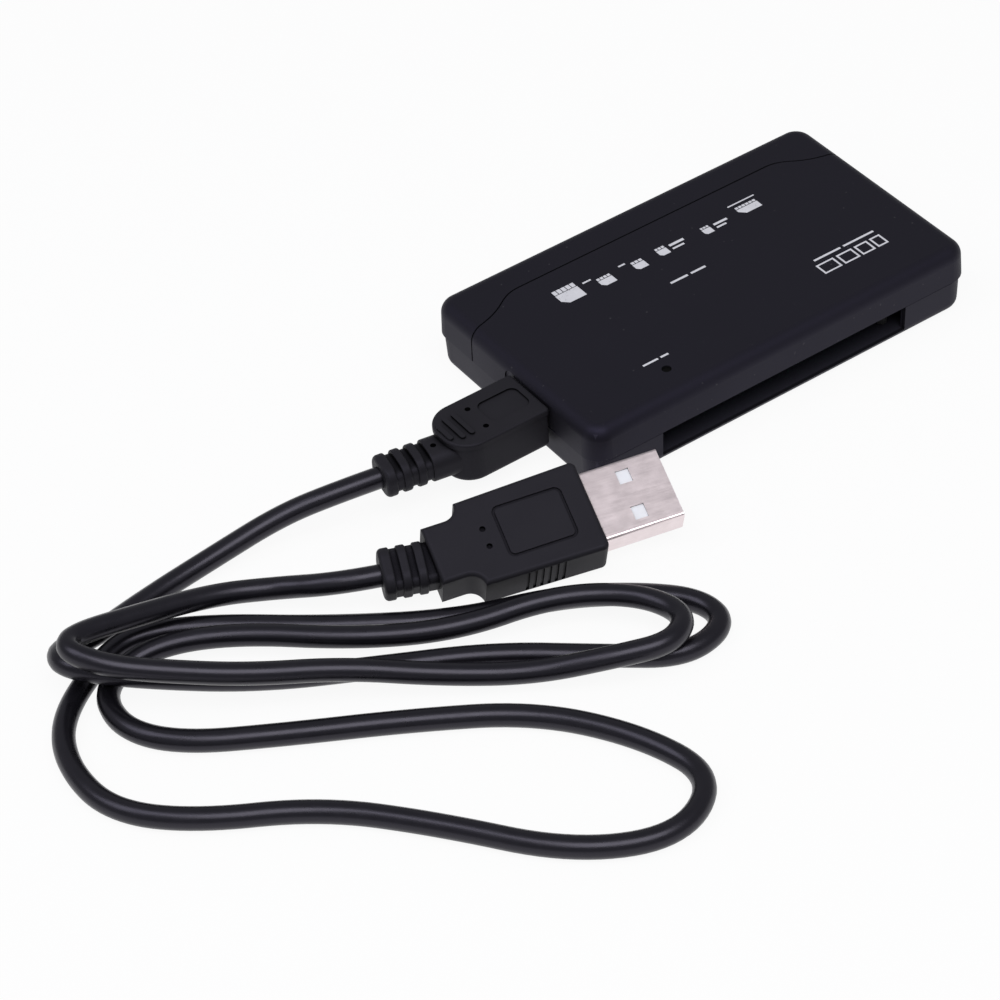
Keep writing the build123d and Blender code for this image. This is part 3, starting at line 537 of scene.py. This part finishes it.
# Contacts: thin gold plate, worn to the nickel in places
contacts = {
    "nodes": ["large_plug_contacts", "small_plug_contacts", "port_contacts", "wide_card_pins"],
    "springNodes": ["stick_contacts", "square_contacts", "micro_contacts"],
    "gilt": (0.86, 0.62, 0.26, 1),
    "worn": (0.72, 0.64, 0.5, 1),
    "wear": 0.6,
    "wearSpan": (0.5, 0.8),
    "roughness": (0.2, 0.34),
}
gilt = Paint("giltContact", Metallic=1.0)
giltWear = gilt.noise(contacts["wear"], detail=3)
gilt.set(
    Base_Color=gilt.tint(giltWear.ramp(*contacts["wearSpan"]), contacts["gilt"], contacts["worn"]),
    Roughness=giltWear.ramp(0.2, 0.8, *contacts["roughness"]),
)
dress(gilt.material, *contacts["nodes"], *contacts["springNodes"])

# Circuit board: green lacquer over a net of tracks
board = {
    "coat": 0.4,
    "coatRough": 0.15,
    "lacquer": (0.012, 0.10, 0.04, 1),
    "trackTone": (0.03, 0.20, 0.07, 1),
    "tracksPerMetre": 420.0,
    "trackWidth": 0.09,  # share of a track's spacing
    "trackDepth": 0.03,
    "trackStrength": 0.5,
    "roughness": (0.4, 0.3),
}
laminate = Paint("boardLaminate", Coat_Weight=board["coat"], Coat_Roughness=board["coatRough"])
net = {"Vector": laminate.place(), "Scale": board["tracksPerMetre"]}
trackNet = laminate.node("ShaderNodeTexVoronoi", net, feature="DISTANCE_TO_EDGE")
track = trackNet.under(board["trackWidth"])
laminate.set(
    Base_Color=laminate.tint(track, board["lacquer"], board["trackTone"]),
    Roughness=track.ramp(0, 1, *board["roughness"]),
    Normal=laminate.bump(track, board["trackDepth"], board["trackStrength"]),
)
dress(laminate.material, "circuit_board")

# Controller chip: black package, bare metal where its leads stand out
chip = {
    "specular": 0.35,
    "tones": [grey(0.015), grey(0.03)],
    "leadTone": grey(0.6),
    "bodyHalf": 3.5,
    "roughness": (0.5, 0.65),
    "grain": 0.15,
    "grainDepth": 0.02,
    "grainStrength": 0.4,
}
package = Paint("chipPackage", Specular_IOR_Level=chip["specular"])
packageGrain = package.noise(chip["grain"], detail=3)
chipLow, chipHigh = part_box("controller_chip")
chipMiddle = (chipLow + chipHigh) / 2
chipX, chipY, chipZ = package.axes()
fromMiddle = (chipX - chipMiddle.x).size().maths("MAXIMUM", (chipY - chipMiddle.y).size())
leadZone = fromMiddle.over(chip["bodyHalf"] * mm)
package.set(
    Base_Color=package.tint(leadZone, package.tint(packageGrain, *chip["tones"]), chip["leadTone"]),
    Roughness=packageGrain.ramp(0.2, 0.8, *chip["roughness"]),
    Metallic=leadZone,
    Normal=package.bump(packageGrain, chip["grainDepth"], chip["grainStrength"]),
)
dress(package.material, "controller_chip")


# Plain finishes: two tones and two roughnesses that follow one soft cloud
def cloudedPaint(name, look):
    paint = Paint(name, **look["constants"])
    cloud = paint.noise(look["cloud"], look["detail"], look.get("stretch", (1, 1, 1)))
    paint.set(
        Base_Color=paint.tint(cloud, *look["tones"]),
        Roughness=cloud.ramp(0.2, 0.8, *look["roughness"]),
    )
    if "bump" in look:
        paint.set(Normal=paint.bump(cloud, *look["bump"]))
    return paint


plainFinishes = {
    "whiteNylon": {
        "nodes": ["large_plug_insulator"],
        "constants": {"Subsurface_Weight": 0.05, "Specular_IOR_Level": 0.4},
        "cloud": 1.5,
        "detail": 3,
        "tones": [(0.88, 0.88, 0.93, 1), (0.94, 0.94, 0.98, 1)],
        "roughness": (0.4, 0.5),
    },
    "blackResin": {
        "nodes": [
            *["small_plug_insulator", "port_tongue", "wide_card_header"],
            *["stick_socket", "square_socket", "micro_socket"],
        ],
        "constants": {"Specular_IOR_Level": 0.4},
        "cloud": 0.3,
        "detail": 3,
        "tones": [grey(0.01), grey(0.018)],
        "roughness": (0.45, 0.6),
        "bump": (0.02, 0.3),  # depth and strength
    },
    "crystalCan": {
        "nodes": ["crystal"],
        "constants": {"Metallic": 1.0},
        "cloud": 0.8,
        "detail": 3,
        "stretch": (0.2, 1, 1),
        "tones": [grey(0.55), grey(0.68)],
        "roughness": (0.22, 0.36),
    },
    "ceramicChip": {
        "nodes": ["chip_capacitors"],
        "constants": {},
        "cloud": 0.4,
        "detail": 3,
        "tones": [(0.36, 0.26, 0.16, 1), (0.5, 0.38, 0.25, 1)],
        "roughness": (0.45, 0.6),
    },
    "glazedChip": {
        "nodes": ["chip_resistors"],
        "constants": {"Coat_Weight": 0.3},
        "cloud": 0.4,
        "detail": 3,
        "tones": [grey(0.02), grey(0.04)],
        "roughness": (0.3, 0.45),
    },
    "lampResin": {
        "nodes": ["access_lamp"],
        "constants": {"Coat_Weight": 0.5},
        "cloud": 0.3,
        "detail": 2,
        "tones": [(0.62, 0.66, 0.5, 1), (0.75, 0.78, 0.65, 1)],
        "roughness": (0.25, 0.4),
    },
    "smokedRod": {
        "nodes": ["light_pipe"],
        "constants": {"Specular_IOR_Level": 0.04},
        "cloud": 0.5,
        "detail": 2,
        "tones": [grey(0.002), grey(0.004)],
        "roughness": (0.3, 0.4),
    },
}
for name, look in plainFinishes.items():
    dress(cloudedPaint(name, look).material, *look["nodes"])
print("plugs and inside finished")

# Floor and background: white wherever the camera or a reflection sees it
ground = {
    "reach": 3.0,
    "gap": 0.05,  # below the part
    "shade": 0.08,  # how much of the part's shadow shows
    "constants": {"Specular_IOR_Level": 0.0},
    "cloud": 60,
    "detail": 2,
    "tones": [grey(0.86), grey(0.88)],
    "roughness": (0.8, 0.9),
}
floorPaint = cloudedPaint("paleFloor", ground)
glow = floorPaint.node("ShaderNodeEmission", {"Color": (1, 1, 1, 1), "Strength": 1.0})
rays = [
    floorPaint.node("ShaderNodeLightPath", outlet=f"Is {kind} Ray")
    for kind in ("Camera", "Glossy", "Transmission")
]
share = (rays[0] + rays[1] + rays[2]) * (1 - ground["shade"])
lit = Sock(floorPaint, floorPaint.shader.outputs[0])
shown = floorPaint.node("ShaderNodeMixShader", {0: share, 1: lit, 2: glow})
floorPaint.tree.links.new(shown.outlet, floorPaint.tree.nodes["Material Output"].inputs[0])
floorShape = bmesh.new()
bmesh.ops.create_grid(floorShape, x_segments=1, y_segments=1, size=ground["reach"])
floor = meshPiece("floor", floorShape, floorPaint.material)
floor.location.z = cadBox[0].z - ground["gap"] * mm

# Light: a soft sky, a large box above and a smaller one at the plugged end
sky = {"colour": (0.95, 0.96, 1.0, 1), "strength": 0.34}
lampTarget = Vector((-0.04, -0.03, 0.0))
lamps = {
    "topBox": {
        "place": (-0.17, -0.39, 0.76),
        "size": (0.7, 0.5),
        "power": 3.9,
        "colour": (1, 1, 1),
    },
    "sideBox": {
        "place": (-0.5, 0.12, 0.68),
        "size": (0.4, 0.5),
        "power": 1.5,
        "colour": (0.93, 0.93, 1.0),
    },
}
world = bpy.data.worlds.new("studio")
world.use_nodes = True
scene.world = world
background = world.node_tree.nodes["Background"]
background.inputs["Color"].default_value = sky["colour"]
background.inputs["Strength"].default_value = sky["strength"]
for name, look in lamps.items():
    lamp = bpy.data.lights.new(name, "AREA")
    lamp.shape = "RECTANGLE"
    lamp.size, lamp.size_y = look["size"]
    lamp.energy = look["power"]
    lamp.color = look["colour"]
    box = bpy.data.objects.new(name, lamp)
    box.location = look["place"]
    box.rotation_euler = (lampTarget - Vector(look["place"])).to_track_quat("-Z", "Y").to_euler()
    scene.collection.objects.link(box)
scene.view_settings.view_transform = "Standard"
print("stage set")
